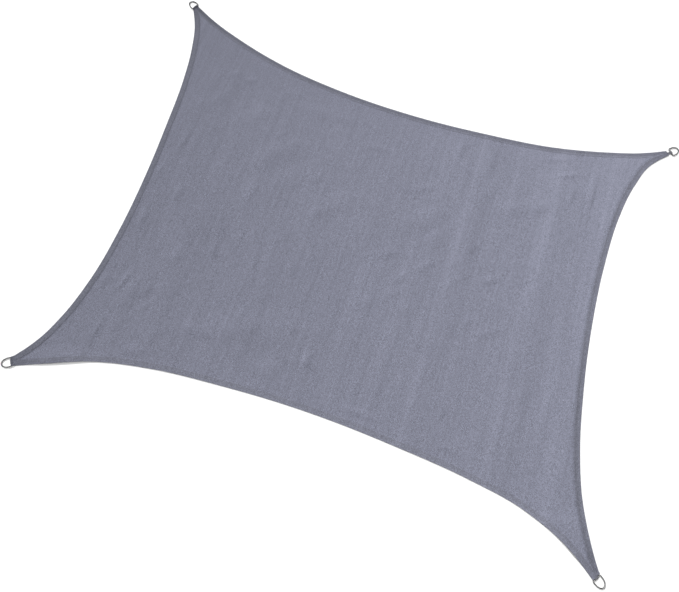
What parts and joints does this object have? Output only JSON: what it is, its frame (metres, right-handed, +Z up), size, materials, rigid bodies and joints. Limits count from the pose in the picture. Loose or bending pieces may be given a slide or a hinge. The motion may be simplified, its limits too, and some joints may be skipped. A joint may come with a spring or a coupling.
{
  "type": "shade sail",
  "caption": "Rectangular knitted shade sail with inward-curved hemmed edges, spread out flat with low folds, and a webbing strap with a steel D-ring at every corner",
  "frame": {"origin": "On the ground, at the middle of the footprint of the spread-out sail and its rings", "axes": "+X along the long side to the right of the picture, +Y along the short side away from the viewer, +Z up, out of the cloth's upper face"},
  "size_m": [4.0895, 3.1549, 0.0145],
  "materials": {
    "shade_cloth": "matt knitted shade cloth, blue grey",
    "webbing": "woven strap webbing, dark grey",
    "ring_steel": "polished stainless steel wire"
  },
  "bodies": {
    "root": {"sail_cloth": "shade_cloth", "corner_strap_front_left": "webbing", "corner_strap_front_right": "webbing", "corner_strap_back_right": "webbing", "corner_strap_back_left": "webbing", "corner_ring_front_left": "ring_steel", "corner_ring_front_right": "ring_steel", "corner_ring_back_right": "ring_steel", "corner_ring_back_left": "ring_steel"}
  },
  "joints": []
}
